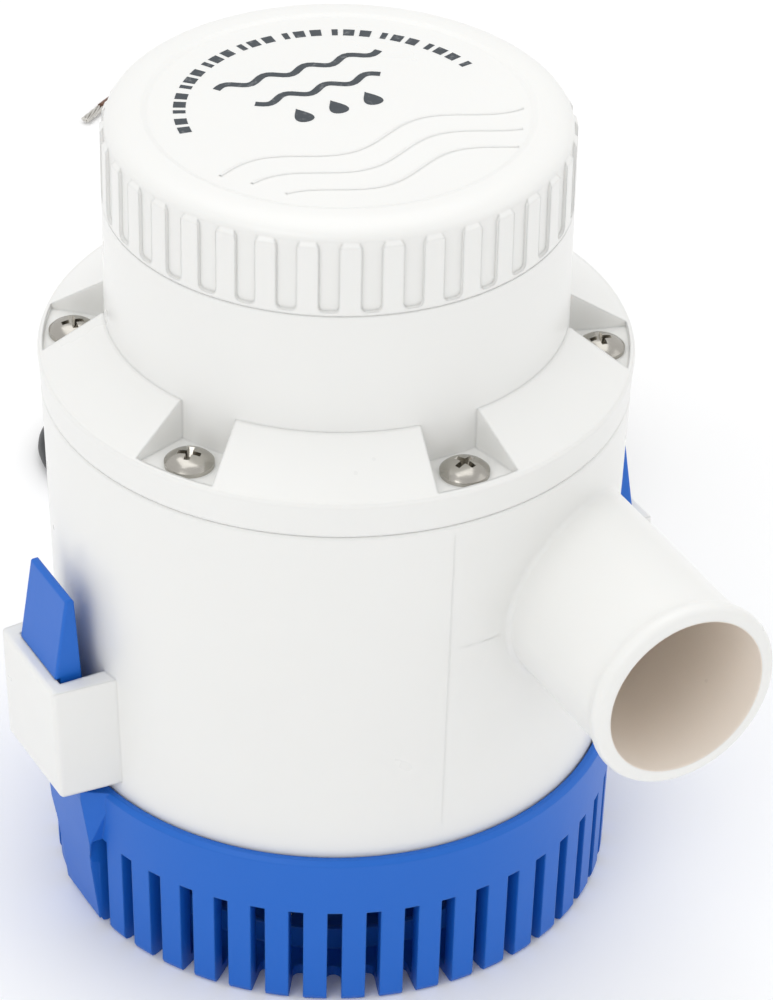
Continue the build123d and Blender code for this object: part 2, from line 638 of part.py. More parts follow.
COIL_END = COIL_START + COIL_GAP
COIL_TOP_CENTRE = COIL_TOP_Z - CABLE_R
COIL_LOW_CENTRE = COIL_BASE_Z + CABLE_R
SUPPLY_ROUTE = [
    (0, GLAND_END_Y, GLAND_Z),
    (0, 86, GLAND_Z),
    (-1, 100, 142),
    (-2, 107, 124),
    (-3, 108, 100),
    (-5, 105, 76),
    (-8, 106, 53),
    (-11, 113, 34),
    coil_tangent(COIL_START, -22, COIL_TOP_CENTRE),
    coil_tangent(COIL_START, 0, COIL_TOP_CENTRE),
]
TAIL_ROUTE = [
    coil_tangent(COIL_END, 0, COIL_LOW_CENTRE),
    coil_tangent(COIL_END, 24, COIL_LOW_CENTRE),
    (-46, 127, 3),
    (-67, 126, 3),
    (-81, 146, 3),
    (-72, 168, 3),
    (-55, 184, 3),
    (-42, 212, 3),
    (-36, 246, 3),
    (-33, 280, 3),
    (-36, 308, 3),
    (-45, 328, 3),
]
BROWN_ROUTE = [
    (-46.3, 327.7, 3),
    (-50.3, 336.7, 3),
    (-60, 341.5, 2),
    (-73.5, 338, 1.5),
    (-80, 325.5, 1.5),
]
BLACK_ROUTE = [
    (-43.8, 328.8, 3),
    (-47.8, 337.6, 3),
    (-46, 348, 2),
    (-36, 353, 1.5),
    (-25, 349, 1.5),
]


def make_cable_coil():
    """The outer shape of the tied coil, open where the lead's two ends leave it."""
    ring = tube(COIL_MEAN_R + CABLE_R, COIL_MEAN_R - CABLE_R, COIL_BASE_Z, COIL_TOP_Z)
    reach = 80
    corners = [(reach * cos(radians(a)), reach * sin(radians(a))) for a in (COIL_START, COIL_END)]
    wedge = Pos(0, 0, -5) * extrude(make_face(Polyline((0, 0), *corners, close=True)), 60)
    ring = fillet(ring.edges(), 2.4)
    return Rot(0, 0, BEHIND) * Pos(*COIL_CENTRE, 0) * (ring - wedge)


def make_cable_tie():
    """A nylon tie round the coil's section, with its square locking head."""
    inner_low, inner_high = COIL_BASE_Z, COIL_TOP_Z
    inner = (COIL_MEAN_R - CABLE_R - 0.15, COIL_MEAN_R + CABLE_R + 0.15)
    band = block((inner[0] - 1.1, inner[1] + 1.1), (-1.8, 1.8), (inner_low - 1.15, inner_high + 1.15))
    band = band - block(inner, (-3, 3), (inner_low - 0.05, inner_high + 0.05))
    head = block((inner[1] + 0.3, inner[1] + 4.6), (-2.6, 2.6), (inner_high - 8.0, inner_high - 3.0))
    return Rot(0, 0, BEHIND) * Pos(*COIL_CENTRE, 0) * Rot(0, 0, 60) * (band + head)


def make_gland():
    """The moulded strain relief: inner flange, plug in the neck's wall, tapered sleeve."""
    outline = Polyline(
        (0, 43.5), (6.6, 43.5), (6.6, 45.4), (GLAND_PLUG_R, 45.4), (GLAND_PLUG_R, 48.0), (6.8, 48.0),
        (6.8, NECK_R + 2.6), (5.8, NECK_R + 3.2), (4.0, GLAND_END_Y), (0, GLAND_END_Y), close=True,
    )
    solid = revolve(make_face(outline), Axis.Y)
    grooves = [
        Pos(0, 55 + 3.4 * k, 0) * Rot(90, 0, 0) * (Cylinder(8, 1.2) - Cylinder(4.6 - 0.25 * k, 1.2))
        for k in range(4)
    ]
    gland = Rot(0, 0, BEHIND) * Pos(0, 0, GLAND_Z) * (solid - grooves)
    return gland - (neck_wall() - gland_hole())


def wire_tip(route):
    """The tinned end of a core: a straight bar on from the insulation, pressed flat."""
    before, last = (Vector(*rear(point)) for point in route[-2:])
    along = (last - before).normalized()
    section = Plane(last, x_dir=Vector(0, 0, 1).cross(along), z_dir=along)
    return extrude(section * RectangleRounded(*TIP_SIZE, 0.6), TIP_LENGTH)


def main():
    os.makedirs("parts", exist_ok=True)
    save(make_strainer(), "strainer")
    save(make_pump_housing(), "pump_housing")
    save(make_motor_housing(), "motor_housing")
    save(make_top_cap(), "top_cap")
    save(make_flange_screws(), "flange_screws")
    save(ring_of_wire(49.8, 0.94, FLANGE_Z + 0.9), "flange_o_ring")
    save(ring_of_wire(45.1, 0.88, 162.5), "cap_o_ring")
    save(tube(39.5, 30.0, SHELL_FLOOR_Z, 73.0), "motor_cushion")
    save(tube(CAN_R, CAN_BORE_R, CAN_BOTTOM_Z, CAN_TOP_Z), "motor_can")
    save(make_lower_end_plate(), "lower_end_plate")
    save(make_upper_end_plate(), "upper_end_plate")
    save(make_bearing(LOWER_BEARING_Z), "lower_bearing")
    save(make_bearing(UPPER_BEARING_Z), "upper_bearing")
    save(tube(SEAL_BORE_R, BEARING_BORE_R + 0.05, 62.6, 69.6), "shaft_seal")
    save(make_brush_carrier(), "brush_carrier")
    for side, word in ((-1, "left"), (1, "right")):
        save(make_snap_arm(side), f"snap_arm_{word}")
        save(make_magnet(side), f"field_magnet_{word}")
        save(make_brush(side), f"brush_{word}")
        save(make_brush_spring(side), f"brush_spring_{word}")
    save(make_lead(-1), "inner_lead_brown")
    save(make_lead(1), "inner_lead_black")
    save(make_shaft(), "motor_shaft")
    save(make_armature_core(), "armature_core")
    save(make_windings(), "armature_windings")
    save(make_commutator(), "commutator")
    save(make_impeller(), "impeller")
    save(make_impeller_nut(), "impeller_nut")
    save(make_gland(), "cable_gland")
    save(cable_tube("supply_cable", SUPPLY_ROUTE, CABLE_R), "supply_cable")
    save(make_cable_coil(), "cable_coil")
    save(make_cable_tie(), "cable_tie")
    save(cable_tube("cable_tail", TAIL_ROUTE, CABLE_R), "cable_tail")
    save(cable_tube("brown_core", BROWN_ROUTE, CORE_WIRE_R), "brown_core")
    save(cable_tube("black_core", BLACK_ROUTE, CORE_WIRE_R), "black_core")
    save(wire_tip(BROWN_ROUTE), "brown_tip")
    save(wire_tip(BLACK_ROUTE), "black_tip")


main()
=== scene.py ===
import json
from math import cos, hypot, pi, radians, sin

import bmesh
import bpy
from mathutils import Matrix, Vector


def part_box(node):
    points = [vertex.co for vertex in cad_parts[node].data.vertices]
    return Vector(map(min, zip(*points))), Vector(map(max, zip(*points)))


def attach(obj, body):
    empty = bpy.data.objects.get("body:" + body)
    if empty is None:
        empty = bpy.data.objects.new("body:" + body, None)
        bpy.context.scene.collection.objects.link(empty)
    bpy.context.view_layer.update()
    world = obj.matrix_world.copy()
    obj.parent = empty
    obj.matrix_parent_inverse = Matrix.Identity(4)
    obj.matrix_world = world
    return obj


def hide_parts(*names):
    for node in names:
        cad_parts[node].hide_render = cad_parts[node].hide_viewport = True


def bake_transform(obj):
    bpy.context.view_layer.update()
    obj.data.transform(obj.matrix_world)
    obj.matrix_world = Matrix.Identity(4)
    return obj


# A submersible bilge pump on a pale floor.  The CAD nodes carry the shapes; this script gives them
# their finishes and adds the lead with its cores and tips, the webs at the feet of the snap arms,
# the mould lines and the printed marks.

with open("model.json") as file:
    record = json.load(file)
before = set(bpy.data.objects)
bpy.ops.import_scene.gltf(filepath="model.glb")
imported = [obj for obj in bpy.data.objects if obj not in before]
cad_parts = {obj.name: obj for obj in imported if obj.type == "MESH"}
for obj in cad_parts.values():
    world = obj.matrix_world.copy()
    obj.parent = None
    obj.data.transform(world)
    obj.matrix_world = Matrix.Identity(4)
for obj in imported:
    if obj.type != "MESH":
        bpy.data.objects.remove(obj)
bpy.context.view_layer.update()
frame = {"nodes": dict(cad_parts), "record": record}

MM = 0.001
CAP_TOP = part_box("top_cap")[1][2]

# camera: distance from the motor's axis, height, and its heading, pitch and roll
CAMERA_REACH = 0.7923
CAMERA_HEIGHT = 0.6344
CAMERA_SIDE = radians(28.1)
CAMERA_HEADING = radians(28.92)
CAMERA_PITCH = 0.60211
CAMERA_ROLL = 0.02085
CAMERA_LENS = 158.83

# supply lead, in the frame turned to the side that it leaves on
BEHIND = radians(-30)
CABLE_D = 6 * MM
CORE_D = 2.5 * MM
COIL_CENTRE = (22 * MM, 150 * MM)
COIL_R = 33 * MM
COIL_TOP = 21.5 * MM
COIL_LOW = 4.3 * MM
COIL_TURN = 3 * 360 - 64                        # degrees wound, clockwise from the left side
POINTS_PER_TURN = 14

SUPPLY_POINTS = [
    (0, 70, 150), (0, 86, 150), (-1, 100, 142), (-2, 107, 124), (-3, 108, 100),
    (-5, 105, 76), (-8, 106, 53), (-11, 113, 34), (-11, 128, 21.5),
]
TAIL_POINTS = [
    (-46, 127, 3), (-67, 126, 3), (-81, 146, 3), (-72, 168, 3), (-55, 184, 3), (-42, 212, 3),
    (-36, 246, 3), (-33, 280, 3), (-36, 308, 3), (-45, 328, 3),
]
BROWN_POINTS = [
    (-46.3, 327.7, 3), (-50.3, 336.7, 3), (-60, 341.5, 2), (-73.5, 338, 1.5), (-80, 325.5, 1.5),
]
BLACK_POINTS = [
    (-43.8, 328.8, 3), (-47.8, 337.6, 3), (-46, 348, 2), (-36, 353, 1.5), (-25, 349, 1.5),
]
TIP_LENGTH = 9 * MM
STRANDS_ROUND = 7                                # strands round the middle one of a tinned tip
STRAND_R = 0.38 * MM
STRAND_CIRCLE_R = 0.62 * MM
STRAND_TWIST = 0.45                              # turns along the tip
STRAND_STEPS = 14


# ---------------------------------------------------------------- node material helpers
class Shader:
    """A material with a Principled shader and short calls that add texture nodes to it."""

    def __init__(self, name):
        self.material = bpy.data.materials.new(name)
        self.material.use_nodes = True
        self.open()

    def open(self):
        self.tree = self.material.node_tree
        self.surface = self.tree.nodes["Principled BSDF"]
        coordinates = self.tree.nodes.new("ShaderNodeTexCoord")
        self.place = coordinates.outputs["Object"]

    @classmethod
    def reuse(cls, material):
        """The same calls on a material that is already made."""
        made = cls.__new__(cls)
        made.material = material
        made.open()
        return made

    def vector_math(self, operation, first, second=(0.0, 0.0, 0.0)):
        made = self.tree.nodes.new("ShaderNodeVectorMath")
        made.operation = operation
        self.feed(made.inputs[0], first)
        self.feed(made.inputs[1], second)
        return made.outputs["Value" if operation == "LENGTH" else "Vector"]

    def node(self, kind, **inputs):
        made = self.tree.nodes.new(kind)
        for key, value in inputs.items():
            self.feed(made.inputs[key.replace("_", " ")], value)
        return made

    def feed(self, socket, value):
        if isinstance(value, bpy.types.NodeSocket):
            self.tree.links.new(value, socket)
        else:
            socket.default_value = value

    def scaled(self, factors):
        mapping = self.node("ShaderNodeMapping", Vector=self.place)
        mapping.inputs["Scale"].default_value = factors
        return mapping.outputs["Vector"]

    def noise(self, scale, detail=3.0, roughness=0.55, place=None):
        made = self.node("ShaderNodeTexNoise", Scale=scale, Detail=detail, Roughness=roughness)
        self.feed(made.inputs["Vector"], place or self.place)
        return made.outputs["Fac"]

    def spread(self, value, low, high, out_low=0.0, out_high=1.0):
        made = self.node("ShaderNodeMapRange")
        for key, number in (("From Min", low), ("From Max", high), ("To Min", out_low), ("To Max", out_high)):
            made.inputs[key].default_value = number
        self.feed(made.inputs["Value"], value)
        return made.outputs["Result"]

    def mix(self, amount, first, second):
        made = self.tree.nodes.new("ShaderNodeMix")
        made.data_type = "RGBA"
        self.feed(made.inputs["Factor"], amount)
        self.feed(made.inputs["A"], first)
        self.feed(made.inputs["B"], second)
        return made.outputs["Result"]

    def bump(self, height, strength, distance, normal=None):
        made = self.node("ShaderNodeBump", Strength=strength, Distance=distance, Height=height)
        if normal:
            self.feed(made.inputs["Normal"], normal)
        self.feed(self.surface.inputs["Normal"], made.outputs["Normal"])

    def set(self, **inputs):
        for key, value in inputs.items():
            self.feed(self.surface.inputs[key.replace("_", " ")], value)


def rgb(red, green, blue):
    return (red, green, blue, 1.0)


def shade(colour, factor):
    return rgb(*(min(1.0, part * factor) for part in colour[:3]))


def moulded_plastic(name, colour, roughness, grain=0.00004, edge=0.0006, scatter=0.0, level=0.5):
    """Injection-moulded plastic: faint flow marks in the colour, orange peel and softened edges."""
    s = Shader(name)
    flow = s.spread(s.noise(14.0, 3.0), 0.3, 0.7)
    s.set(Base_Color=s.mix(flow, shade(colour, 0.985), shade(colour, 1.01)))
    polish = s.spread(s.noise(34.0, 4.0), 0.3, 0.7, roughness - 0.03, roughness + 0.05)
    s.set(Roughness=polish)
    soft = s.node("ShaderNodeBevel", Radius=edge)
    soft.samples = 6
    s.bump(s.noise(520.0, 3.0), 0.25, grain, normal=soft.outputs["Normal"])
    s.surface.inputs["IOR"].default_value = 1.49
    s.surface.inputs["Specular IOR Level"].default_value = level
    if scatter:
        s.surface.inputs["Subsurface Weight"].default_value = scatter
        s.surface.inputs["Subsurface Scale"].default_value = 0.0015
        s.surface.inputs["Subsurface Radius"].default_value = (1.0, 0.9, 0.8)
    return s.material


def brushed_metal(name, colour, roughness, stretch=(1.0, 1.0, 12.0), grain=0.00003):
    """Metal with fine drawn marks and slightly uneven polish."""
    s = Shader(name)
    marks = s.noise(420.0, 5.0, 0.6, place=s.scaled(stretch))
    cloud = s.spread(s.noise(70.0, 4.0), 0.3, 0.7)
    s.set(Base_Color=s.mix(cloud, shade(colour, 0.86), shade(colour, 1.06)))
    s.set(Roughness=s.spread(marks, 0.3, 0.7, roughness * 0.75, roughness * 1.35), Metallic=1.0)
    s.bump(marks, 0.3, grain)
    return s.material


def soft_sheath(name, colour, roughness, grain=0.00005):
    """Extruded PVC or rubber: satin, with fine draw lines and small dull patches."""
    s = Shader(name)
    patch = s.spread(s.noise(180.0, 4.0), 0.35, 0.7)
    s.set(Base_Color=s.mix(patch, colour, rgb(*(part * 1.35 + 0.006 for part in colour[:3]))))
    s.set(Roughness=s.spread(s.noise(300.0, 4.0), 0.3, 0.7, roughness - 0.08, roughness + 0.12))
    s.bump(s.noise(1400.0, 3.0), 0.3, grain)
    return s.material


def laminated_steel(name, colour):
    """Stacked electrical sheet: thin dark lines across the axis."""
    s = Shader(name)
    wave = s.node("ShaderNodeTexWave", Scale=320.0, Distortion=0.4, Vector=s.place)
    wave.bands_direction = "Z"
    line = s.spread(wave.outputs["Fac"], 0.1, 0.6)
    s.set(Base_Color=s.mix(line, shade(colour, 0.35), colour), Metallic=0.9)
    s.set(Roughness=s.spread(s.noise(160.0), 0.3, 0.7, 0.34, 0.5))
    s.bump(wave.outputs["Fac"], 0.5, 0.0001)
    return s.material


def wound_copper(name, colour):
    """Enamelled winding wire laid side by side."""
    s = Shader(name)
    wave = s.node("ShaderNodeTexWave", Scale=260.0, Distortion=5.0, Vector=s.place)
    wave.bands_direction = "DIAGONAL"
    wire = s.spread(wave.outputs["Fac"], 0.15, 0.8)
    s.set(Base_Color=s.mix(wire, shade(colour, 0.35), colour), Metallic=1.0)
    s.set(Roughness=s.spread(wave.outputs["Fac"], 0.0, 1.0, 0.45, 0.24))
    s.bump(wave.outputs["Fac"], 0.7, 0.0002)
    return s.material


def sintered(name, colour, roughness):
    """Pressed and fired powder: dark, dull and speckled."""
    s = Shader(name)
    speck = s.spread(s.noise(700.0, 4.0, 0.7), 0.4, 0.66)
    s.set(Base_Color=s.mix(speck, colour, shade(colour, 1.9)))
    s.set(Roughness=s.spread(s.noise(220.0), 0.3, 0.7, roughness - 0.08, roughness + 0.08))
    s.bump(s.noise(1100.0, 3.0), 0.5, 0.00008)
    return s.material


WHITE = rgb(0.83, 0.83, 0.812)
BLUE = rgb(0.009, 0.132, 0.575)
# painted shade: the beige cast of shade inside the hose spigot's bore, mixed into the white there
BORE_PAINTED_SHADE = rgb(0.93, 0.85, 0.765)
SPIGOT_AXIS = (28.8 * MM, 0.0, 93.1 * MM)
SPIGOT_BORE_R = 18.0 * MM
PAINTED_SHADE_EDGE = (SPIGOT_BORE_R + 0.2 * MM, SPIGOT_BORE_R + 0.05 * MM)
PAINTED_SHADE_START = (-30 * MM, -50 * MM)           # along the spigot, where the painted shade fades in


def paint_spigot_bore_shade(material):
    """Paints shade inside the hose spigot: the beige cast that shade takes in its bore."""
    s = Shader.reuse(material)
    plain = s.surface.inputs["Base Color"].links[0].from_socket
    offset = s.vector_math("SUBTRACT", s.place, SPIGOT_AXIS)
    across = s.vector_math("MULTIPLY", offset, (1.0, 0.0, 1.0))
    distance = s.vector_math("LENGTH", across)
    within = s.spread(distance, *PAINTED_SHADE_EDGE)
    split = s.node("ShaderNodeSeparateXYZ", Vector=s.place)
    outward = s.spread(split.outputs["Y"], *PAINTED_SHADE_START)
    amount = s.node("ShaderNodeMath")
    amount.operation = "MULTIPLY"
    s.feed(amount.inputs[0], within)
    s.feed(amount.inputs[1], outward)
    # mixes the painted bore shade into the housing's white
    s.set(Base_Color=s.mix(amount.outputs["Value"], plain, BORE_PAINTED_SHADE))
    return material


def make_finishes():
    return {
        "white_plastic": moulded_plastic(
            "white_plastic", WHITE, 0.30, edge=0.0009, scatter=0.12
        ),
        "blue_plastic": moulded_plastic(
            "blue_plastic", BLUE, 0.40, grain=0.00008, level=0.36
        ),
        "nylon": moulded_plastic("nylon", rgb(0.72, 0.70, 0.62), 0.45, scatter=0.15),
        "stainless": brushed_metal("stainless", rgb(0.47, 0.45, 0.41), 0.20),
        "steel": brushed_metal("steel", rgb(0.50, 0.50, 0.49), 0.34),
        "lamination_steel": laminated_steel("lamination_steel", rgb(0.36, 0.36, 0.37)),
        "ferrite": sintered("ferrite", rgb(0.045, 0.045, 0.05), 0.62),
        "carbon": sintered("carbon", rgb(0.03, 0.03, 0.032), 0.5),
        "copper": wound_copper("copper", rgb(0.72, 0.34, 0.17)),
        "black_rubber": soft_sheath("black_rubber", rgb(0.016, 0.016, 0.018), 0.58),
        "black_pvc": soft_sheath("black_pvc", rgb(0.020, 0.022, 0.025), 0.40),
        "brown_pvc": soft_sheath("brown_pvc", rgb(0.115, 0.050, 0.028), 0.38),
        "tinned_copper": brushed_metal("tinned_copper", rgb(0.70, 0.68, 0.64), 0.26, (1.0, 1.0, 1.0)),
    }


def finish_cad_nodes(finishes):
    """Gives each CAD node its slot's finish."""
    for part in frame["record"]["subparts"]:
        node = frame["nodes"][part["node"]]
        node.data.materials.clear()
        node.data.materials.append(finishes[part["material_slot"]])
    housing = finishes["white_plastic"].copy()
    housing.name = "white_plastic_housing"
    frame["nodes"]["pump_housing"].data.materials[0] = paint_spigot_bore_shade(housing)


# ---------------------------------------------------------------- scene helpers
def link(obj):
    bpy.context.scene.collection.objects.link(obj)
    return obj


def rear(point):
    """A point given in mm as (sideways, away, height) on the lead's side, in the part's frame."""
    u, v, z = (part * MM for part in point)
    return (u * cos(BEHIND) - v * sin(BEHIND), u * sin(BEHIND) + v * cos(BEHIND), z)


def nurbs(name, points, diameter, material):
    """One smooth open NURBS spline through the control points, as a round tube."""
    data = bpy.data.curves.new(name, "CURVE")
    data.dimensions = "3D"
    data.bevel_depth = diameter / 2
    data.bevel_resolution = 6
    data.resolution_u = 16
    data.use_fill_caps = True
    spline = data.splines.new("NURBS")
    spline.points.add(len(points) - 1)
    for made, point in zip(spline.points, points):
        made.co = (*point, 1.0)
    spline.order_u = 3
    spline.use_endpoint_u = True
    data.materials.append(material)
    return link(bpy.data.objects.new(name, data))


def mesh_piece(name, build, material):
    """A mesh object whose bmesh is filled by build."""
    data = bpy.data.meshes.new(name)
    shape = bmesh.new()
    build(shape)
    bmesh.ops.recalc_face_normals(shape, faces=shape.faces)
    shape.to_mesh(data)
    shape.free()
    data.materials.append(material)
    return link(bpy.data.objects.new(name, data))


# ---------------------------------------------------------------- camera and light
def make_camera():
    data = bpy.data.cameras.new("camera")
    data.lens = CAMERA_LENS
    data.sensor_width = 36.0
    data.clip_start = 0.05
    camera = link(bpy.data.objects.new("camera", data))
    turn = Matrix.Rotation(-CAMERA_HEADING, 4, "Z") @ Matrix.Rotation(pi / 2 - CAMERA_PITCH, 4, "X")
    turn = turn @ Matrix.Rotation(CAMERA_ROLL, 4, "Z")
    place = Vector((-CAMERA_REACH * sin(CAMERA_SIDE), -CAMERA_REACH * cos(CAMERA_SIDE), CAMERA_HEIGHT))
    camera.matrix_world = Matrix.Translation(place) @ turn
    bpy.context.scene.camera = camera
    return camera


def soft_light(name, place, size, power, aim=(0, 0, 0.09)):
    data = bpy.data.lights.new(name, "AREA")
    data.shape = "RECTANGLE"
    data.size, data.size_y = size
    data.energy = power
    light = link(bpy.data.objects.new(name, data))
    light.location = place
    toward = Vector(aim) - Vector(place)
    light.rotation_euler = toward.to_track_quat("-Z", "Y").to_euler()
    return light


WORLD_STRENGTH = 0.83
LIGHTS = {                                       # place, size and power
    "key": ((-1.25, -0.75, 1.35), (0.9, 0.9), 5.0),
    "fill": ((1.2, -0.9, 0.9), (1.2, 1.2), 2.0),
    "top": ((0.1, 0.35, 1.6), (1.4, 1.4), 6.5),
}
FLOOR_HALF_SIZE = 6.0


def make_studio():
    """Pale floor, white surroundings and three soft lights."""
    world = bpy.data.worlds.new("studio")
    world.use_nodes = True
    background = world.node_tree.nodes["Background"]
    background.inputs["Color"].default_value = rgb(1.0, 1.0, 1.0)
    background.inputs["Strength"].default_value = WORLD_STRENGTH
    bpy.context.scene.world = world
    bpy.context.scene.view_settings.view_transform = "Standard"
    for name, (place, size, power) in LIGHTS.items():
        soft_light(name, place, size, power)
    floor_finish = Shader("floor")
    tone = floor_finish.spread(floor_finish.noise(3.0), 0.3, 0.7)
    floor_finish.set(Base_Color=floor_finish.mix(tone, rgb(0.965, 0.965, 0.965), rgb(0.975, 0.975, 0.975)))
    floor_finish.surface.inputs["Roughness"].default_value = 0.9

    def square(shape):
        bmesh.ops.create_grid(shape, x_segments=1, y_segments=1, size=FLOOR_HALF_SIZE)

    mesh_piece("floor", square, floor_finish.material)


# ---------------------------------------------------------------- the lead
def coil_points():
    """The coil's turns, wound clockwise from the top layer down to the floor."""
    count = round(COIL_TURN / 360 * POINTS_PER_TURN)
    points = []
    for k in range(count + 1):
        share = k / count
        angle = pi - radians(COIL_TURN) * share
        wobble = 1 + 0.012 * sin(2.3 * angle)
        radius = COIL_R * wobble / cos(pi / POINTS_PER_TURN) ** 0.5
        height = COIL_TOP + (COIL_LOW - COIL_TOP) * share
        points.append(((COIL_CENTRE[0] + radius * cos(angle)) / MM,
                       (COIL_CENTRE[1] + radius * sin(angle)) / MM, height / MM))
    return points


def centreline(curve):
    """The points along a curve's NURBS spline, read from the curve without its bevel."""
    bare = curve.copy()
    bare.data = curve.data.copy()
    bare.data.bevel_depth = 0
    bare.data.use_fill_caps = False
    line = bpy.data.meshes.new_from_object(link(bare))
    points = [vertex.co.copy() for vertex in line.vertices]
    bpy.data.objects.remove(bare)
    bpy.data.meshes.remove(line)
    return points


def line_length(points):
    return sum((b - a).length for a, b in zip(points, points[1:]))


def as_mesh(curve):
    """The curve's tube as a mesh object of the same name, in place of the curve."""
    name = curve.name
    data = bpy.data.meshes.new_from_object(curve)
    bpy.data.objects.remove(curve)
    tube = link(bpy.data.objects.new(name, data))
    data.polygons.foreach_set("use_smooth", [True] * len(data.polygons))
    return tube


def coil_end_tangent(distance):
    """A point on the line on which the lead leaves the coil."""
    angle = pi - radians(COIL_TURN)
    x = COIL_CENTRE[0] + COIL_R * cos(angle) + distance * sin(angle)
    y = COIL_CENTRE[1] + COIL_R * sin(angle) - distance * cos(angle)
    return (x / MM, y / MM, COIL_LOW / MM)


def strand_bundle(name, start, end, material):
    """A tinned core end: strands laid round a middle one, twisted and pressed slightly flat."""
    along = (end - start).normalized()
    side = along.cross(Vector((0, 0, 1))).normalized()
    data = bpy.data.curves.new(name, "CURVE")
    data.dimensions = "3D"
    data.bevel_depth = STRAND_R
    data.bevel_resolution = 3
    data.use_fill_caps = True
    for strand in range(STRANDS_ROUND + 1):
        spline = data.splines.new("NURBS")
        spline.points.add(STRAND_STEPS)
        for k, made in enumerate(spline.points):
            share = k / STRAND_STEPS
            angle = 2 * pi * (strand / STRANDS_ROUND + STRAND_TWIST * share)
            radius = 0.0 if strand == STRANDS_ROUND else STRAND_CIRCLE_R
            shift = side * radius * 1.55 * cos(angle) + Vector((0, 0, 1)) * radius * 0.7 * sin(angle)
            made.co = (*(start + (end - start) * share + shift), 1.0)
        spline.order_u = 3
        spline.use_endpoint_u = True
    data.materials.append(material)
    return link(bpy.data.objects.new(name, data))


def make_core(name, points, finish, tip_finish):
    """One insulated core and its tinned tip."""
    line = [Vector(rear(point)) for point in points]
    core = nurbs(f"{name}_core_insulation", line, CORE_D, finish)
    along = (line[-1] - line[-2]).normalized()
    bare_from, bare_to = line[-1] - along * MM, line[-1] + along * (TIP_LENGTH - 0.4 * MM)
    tip = strand_bundle(f"{name}_core_strands", bare_from, bare_to, tip_finish)
    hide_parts(f"{name}_core")
    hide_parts(f"{name}_tip")
    for piece in (core, tip):
        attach(piece, "strainer_base")
    line_length(centreline(core))


def make_lead(finishes):
    points = SUPPLY_POINTS + coil_points() + [coil_end_tangent(22 * MM)] + TAIL_POINTS
    curve = nurbs("supply_lead", [rear(point) for point in points], CABLE_D, finishes["black_pvc"])
    path = centreline(curve)
    lead = as_mesh(curve)
    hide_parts("supply_cable", "cable_coil", "cable_tail")
    print(f"supply lead: {line_length(path):.3f} m")
    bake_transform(lead)
    make_core("brown", BROWN_POINTS, finishes["brown_pvc"], finishes["tinned_copper"])
    make_core("black", BLACK_POINTS, finishes["black_pvc"], finishes["tinned_copper"])


make_camera()
finishes = make_finishes()
make_lead(finishes)
make_studio()
finish_cad_nodes(finishes)


# ---------------------------------------------------------------- the snap arms' living hinges
WEB_HALF_WIDTH = 8.9 * MM
WEB_BOTTOM, WEB_TOP = 38.6 * MM, 43.4 * MM
WEB_INNER_R, WEB_OUTER_R = 63.45 * MM, 66.35 * MM
WEB_WAIST = 0.35 * MM
WEB_STEPS = 8


def make_arm_web(side, word, finish):
    """The moulded-in hinge: the thin web of plastic that joins a snap arm to its buttress."""

    def build(shape):
        rows = []
        for k in range(WEB_STEPS + 1):
            z = WEB_BOTTOM + (WEB_TOP - WEB_BOTTOM) * k / WEB_STEPS
            waist = WEB_WAIST * sin(pi * k / WEB_STEPS)
            inner, outer = side * (WEB_INNER_R + waist), side * (WEB_OUTER_R - waist)
            corners = [(inner, -1), (outer, -1), (outer, 1), (inner, 1)]
            rows.append([shape.verts.new((x, y * WEB_HALF_WIDTH, z)) for x, y in corners])
        for below, above in zip(rows, rows[1:]):
            for k in range(4):
                j = (k + 1) % 4
                shape.faces.new((below[k], below[j], above[j], above[k]))
        shape.faces.new(rows[0][::-1])
        shape.faces.new(rows[-1])

    web = mesh_piece(f"arm_web_{word}", build, finish)
    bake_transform(web)


make_arm_web(-1, "left", finishes["blue_plastic"])
make_arm_web(1, "right", finishes["blue_plastic"])


# ---------------------------------------------------------------- mould lines on the housing
HOUSING_LOW, HOUSING_HIGH = (60.35 * MM, 33.3 * MM), (63.0 * MM, 123.5 * MM)   # (radius, height)
LINE_WIDTH = 0.26 * MM
LINE_PROUD = 0.012 * MM
PARTING_TURNS = (radians(-5), radians(175))
PARTING_HEIGHTS = (45 * MM, 121 * MM)
PARTING_STEPS = 20
SPIGOT_LINE_TURNS = (radians(-3.2), radians(6.5))
SPIGOT_LINE_Z = 91.3 * MM
SPIGOT_LINE_STEPS = 12


def housing_point(turn, z, proud=0.0):
    """A point on the housing's drafted wall, at an angle about Z from -Y towards +X."""
    share = (z - HOUSING_LOW[1]) / (HOUSING_HIGH[1] - HOUSING_LOW[1])
    radius = HOUSING_LOW[0] + (HOUSING_HIGH[0] - HOUSING_LOW[0]) * share + proud
    return Vector((radius * sin(turn), -radius * cos(turn), z))


def raised_line(shape, path, across):
    """A low ridge of two faces along a list of (angle, height) points on the housing."""
    rows = []
    for turn, z in path:
        low = housing_point(turn - across[0], z - across[1], -LINE_PROUD)
        crest = housing_point(turn, z, LINE_PROUD)
        high = housing_point(turn + across[0], z + across[1], -LINE_PROUD)
        rows.append([shape.verts.new(point) for point in (low, crest, high)])
    for first, second in zip(rows, rows[1:]):
        for k in range(2):
            shape.faces.new((first[k], first[k + 1], second[k + 1], second[k]))


def make_mould_lines(finish):
    """The witness lines of the mould: one down each side of the housing, and one to the spigot."""

    def build(shape):
        half_turn = LINE_WIDTH / 2 / HOUSING_HIGH[0]
        low, high = PARTING_HEIGHTS
        for turn in PARTING_TURNS:
            path = [(turn, low + (high - low) * k / PARTING_STEPS) for k in range(PARTING_STEPS + 1)]
            raised_line(shape, path, (half_turn, 0.0))
        first, last = SPIGOT_LINE_TURNS
        path = [
            (first + (last - first) * k / SPIGOT_LINE_STEPS, SPIGOT_LINE_Z)
            for k in range(SPIGOT_LINE_STEPS + 1)
        ]
        raised_line(shape, path, (0.0, LINE_WIDTH / 2))

    lines = mesh_piece("mould_lines", build, finish)
    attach(lines, "pump_body")


make_mould_lines(finishes["white_plastic"])


